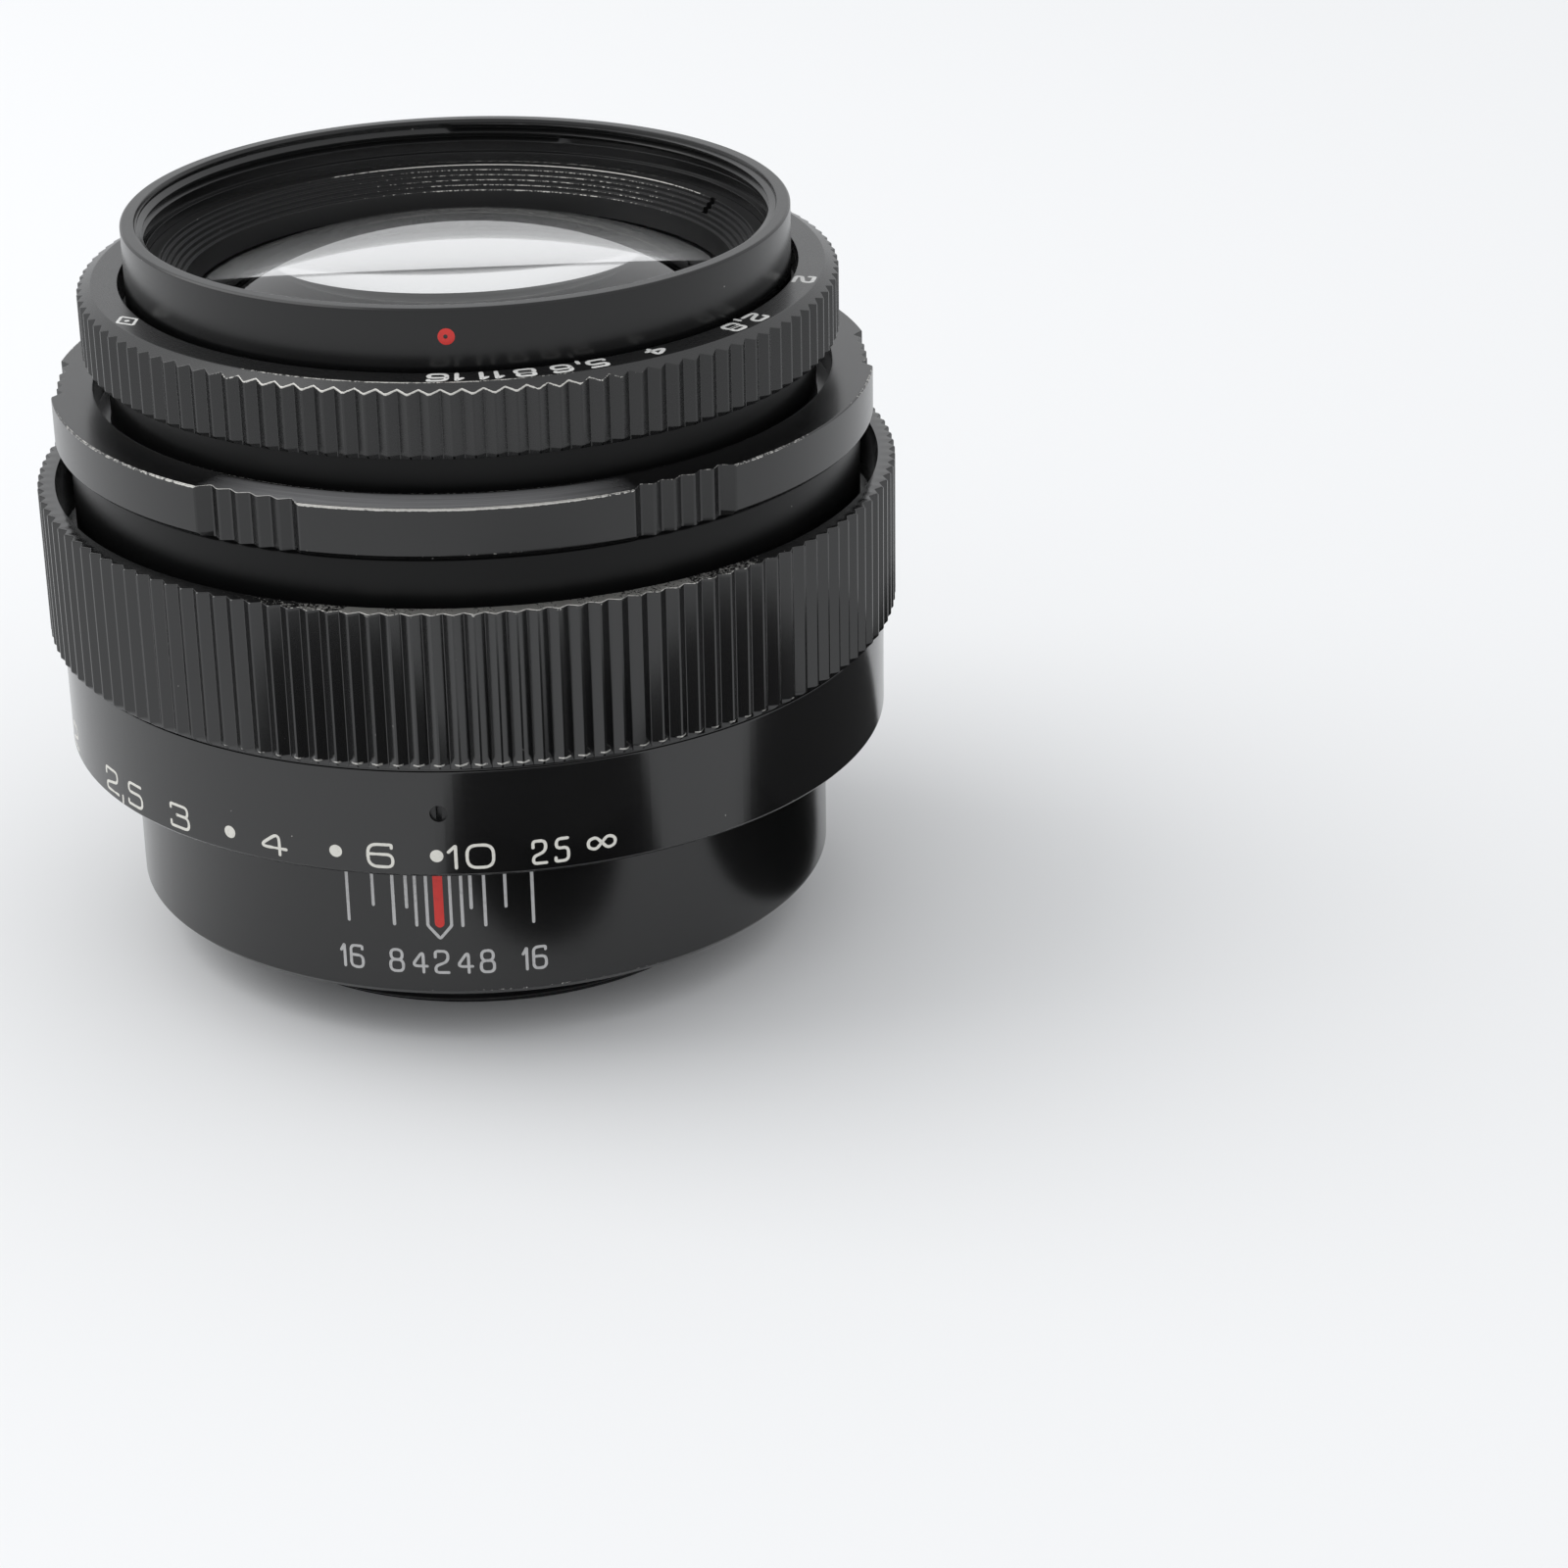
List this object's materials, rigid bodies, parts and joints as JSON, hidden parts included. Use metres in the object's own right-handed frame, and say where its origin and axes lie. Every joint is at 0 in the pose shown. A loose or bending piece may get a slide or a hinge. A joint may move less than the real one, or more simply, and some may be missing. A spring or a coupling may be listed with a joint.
{
  "type": "prime camera lens",
  "caption": "Preset portrait prime lens with a screw mount, helical focusing, a click-free aperture ring, a preset ring and a round multi-blade iris.",
  "frame": {"origin": "centre of the rear end of the camera thread, on the optical axis", "axes": "+Z along the optical axis towards the front; -Y towards the focus index line; +X completes the right-handed frame"},
  "size_m": [0.0676, 0.0676, 0.0587],
  "materials": {
    "mount_metal": "black anodised aluminium, thread worn brighter",
    "black_barrel": "satin black enamel on aluminium",
    "black_ring": "satin black enamel, bare metal on worn edges",
    "retainer_black": "matt black",
    "screw_steel": "turned steel",
    "set_screw_black": "blued steel",
    "brass": "turned, greased",
    "carrier_aluminium": "turned, greased",
    "cell_black": "matt black",
    "blade_steel": "blackened spring steel",
    "coated_glass": "polished, single coated"
  },
  "bodies": {
    "base": {"mount_ring": "mount_metal", "base_barrel": "black_barrel", "mount_screws": "screw_steel", "guide_key_left": "brass", "guide_key_right": "brass", "guide_key_screws": "screw_steel", "focus_stop_screws": "screw_steel"},
    "focus_group": {"focus_ring": "black_ring", "focus_helicoid": "brass", "helicoid_clamp_ring": "brass", "focus_stop_pin": "screw_steel", "focus_set_screws": "set_screw_black"},
    "optical_unit": {"lens_carrier": "carrier_aluminium", "main_barrel": "black_barrel", "front_barrel": "black_barrel", "front_retaining_ring": "retainer_black", "front_element": "coated_glass", "front_cell": "cell_black", "front_group_element_1": "coated_glass", "front_group_element_2": "coated_glass", "front_group_element_3": "coated_glass", "front_group_retainer": "retainer_black", "rear_cell": "cell_black", "rear_group_element_1": "coated_glass", "rear_group_element_2": "coated_glass", "rear_group_element_3": "coated_glass", "rear_group_retainer": "retainer_black", "iris_housing": "cell_black", "preset_click_ball": "screw_steel", "preset_click_spring": "screw_steel"},
    "aperture_group": {"aperture_ring": "black_ring", "aperture_drive_screw": "screw_steel", "iris_actuator": "cell_black"},
    "preset_group": {"preset_ring": "black_ring", "preset_stop_screw": "set_screw_black"},
    "blade_01": {"iris_blade_01": "blade_steel"},
    "blade_02": {"iris_blade_02": "blade_steel"},
    "blade_03": {"iris_blade_03": "blade_steel"},
    "blade_04": {"iris_blade_04": "blade_steel"},
    "blade_05": {"iris_blade_05": "blade_steel"},
    "blade_06": {"iris_blade_06": "blade_steel"},
    "blade_07": {"iris_blade_07": "blade_steel"},
    "blade_08": {"iris_blade_08": "blade_steel"},
    "blade_09": {"iris_blade_09": "blade_steel"},
    "blade_10": {"iris_blade_10": "blade_steel"},
    "blade_11": {"iris_blade_11": "blade_steel"},
    "blade_12": {"iris_blade_12": "blade_steel"},
    "blade_13": {"iris_blade_13": "blade_steel"},
    "blade_14": {"iris_blade_14": "blade_steel"},
    "blade_15": {"iris_blade_15": "blade_steel"}
  },
  "joints": [
    {"name": "focus_turn", "type": "hinge", "parent": "base", "child": "focus_group", "pos_m": [0, 0, 0.03], "axis": [0, 0, 1], "range_deg": [-23, 250]},
    {"name": "focus_travel", "type": "slide", "parent": "base", "child": "optical_unit", "axis": [0, 0, 1], "range_m": [-0.00099, 0.0107]},
    {"name": "aperture_turn", "type": "hinge", "parent": "optical_unit", "child": "aperture_group", "pos_m": [0, 0, 0.0438], "axis": [0, 0, 1], "range_deg": [0, 76]},
    {"name": "preset_turn", "type": "hinge", "parent": "optical_unit", "child": "preset_group", "pos_m": [0, 0, 0.0512], "axis": [0, 0, 1], "range_deg": [-76, 0]},
    {"name": "blade_01_swing", "type": "hinge", "parent": "optical_unit", "child": "blade_01", "pos_m": [0.0171, 0, 0.02693], "axis": [0, 0, 1], "range_deg": [0, 38.9]},
    {"name": "blade_02_swing", "type": "hinge", "parent": "optical_unit", "child": "blade_02", "pos_m": [0.01562, 0.00696, 0.02706], "axis": [0, 0, 1], "range_deg": [0, 38.9]},
    {"name": "blade_03_swing", "type": "hinge", "parent": "optical_unit", "child": "blade_03", "pos_m": [0.01144, 0.01271, 0.02721], "axis": [0, 0, 1], "range_deg": [0, 38.9]},
    {"name": "blade_04_swing", "type": "hinge", "parent": "optical_unit", "child": "blade_04", "pos_m": [0.00528, 0.01626, 0.02735], "axis": [0, 0, 1], "range_deg": [0, 38.9]},
    {"name": "blade_05_swing", "type": "hinge", "parent": "optical_unit", "child": "blade_05", "pos_m": [-0.00179, 0.01701, 0.02748], "axis": [0, 0, 1], "range_deg": [0, 38.9]},
    {"name": "blade_06_swing", "type": "hinge", "parent": "optical_unit", "child": "blade_06", "pos_m": [-0.00855, 0.01481, 0.02763], "axis": [0, 0, 1], "range_deg": [0, 38.9]},
    {"name": "blade_07_swing", "type": "hinge", "parent": "optical_unit", "child": "blade_07", "pos_m": [-0.01383, 0.01005, 0.02777], "axis": [0, 0, 1], "range_deg": [0, 38.9]},
    {"name": "blade_08_swing", "type": "hinge", "parent": "optical_unit", "child": "blade_08", "pos_m": [-0.01673, 0.00356, 0.0279], "axis": [0, 0, 1], "range_deg": [0, 38.9]},
    {"name": "blade_09_swing", "type": "hinge", "parent": "optical_unit", "child": "blade_09", "pos_m": [-0.01673, -0.00356, 0.02805], "axis": [0, 0, 1], "range_deg": [0, 38.9]},
    {"name": "blade_10_swing", "type": "hinge", "parent": "optical_unit", "child": "blade_10", "pos_m": [-0.01383, -0.01005, 0.02819], "axis": [0, 0, 1], "range_deg": [0, 38.9]},
    {"name": "blade_11_swing", "type": "hinge", "parent": "optical_unit", "child": "blade_11", "pos_m": [-0.00855, -0.01481, 0.02832], "axis": [0, 0, 1], "range_deg": [0, 38.9]},
    {"name": "blade_12_swing", "type": "hinge", "parent": "optical_unit", "child": "blade_12", "pos_m": [-0.00179, -0.01701, 0.02847], "axis": [0, 0, 1], "range_deg": [0, 38.9]},
    {"name": "blade_13_swing", "type": "hinge", "parent": "optical_unit", "child": "blade_13", "pos_m": [0.00528, -0.01626, 0.0286], "axis": [0, 0, 1], "range_deg": [0, 38.9]},
    {"name": "blade_14_swing", "type": "hinge", "parent": "optical_unit", "child": "blade_14", "pos_m": [0.01144, -0.01271, 0.02874], "axis": [0, 0, 1], "range_deg": [0, 38.9]},
    {"name": "blade_15_swing", "type": "hinge", "parent": "optical_unit", "child": "blade_15", "pos_m": [0.01562, -0.00696, 0.02889], "axis": [0, 0, 1], "range_deg": [0, 38.9]}
  ],
  "couplings": [
    {"joint": "focus_travel", "follows": "focus_turn", "m_per_rad": 0.002451},
    {"joint": "blade_01_swing", "follows": "aperture_turn", "ratio": 0.511},
    {"joint": "blade_02_swing", "follows": "aperture_turn", "ratio": 0.511},
    {"joint": "blade_03_swing", "follows": "aperture_turn", "ratio": 0.511},
    {"joint": "blade_04_swing", "follows": "aperture_turn", "ratio": 0.511},
    {"joint": "blade_05_swing", "follows": "aperture_turn", "ratio": 0.511},
    {"joint": "blade_06_swing", "follows": "aperture_turn", "ratio": 0.511},
    {"joint": "blade_07_swing", "follows": "aperture_turn", "ratio": 0.511},
    {"joint": "blade_08_swing", "follows": "aperture_turn", "ratio": 0.511},
    {"joint": "blade_09_swing", "follows": "aperture_turn", "ratio": 0.511},
    {"joint": "blade_10_swing", "follows": "aperture_turn", "ratio": 0.511},
    {"joint": "blade_11_swing", "follows": "aperture_turn", "ratio": 0.511},
    {"joint": "blade_12_swing", "follows": "aperture_turn", "ratio": 0.511},
    {"joint": "blade_13_swing", "follows": "aperture_turn", "ratio": 0.511},
    {"joint": "blade_14_swing", "follows": "aperture_turn", "ratio": 0.511},
    {"joint": "blade_15_swing", "follows": "aperture_turn", "ratio": 0.511}
  ]
}
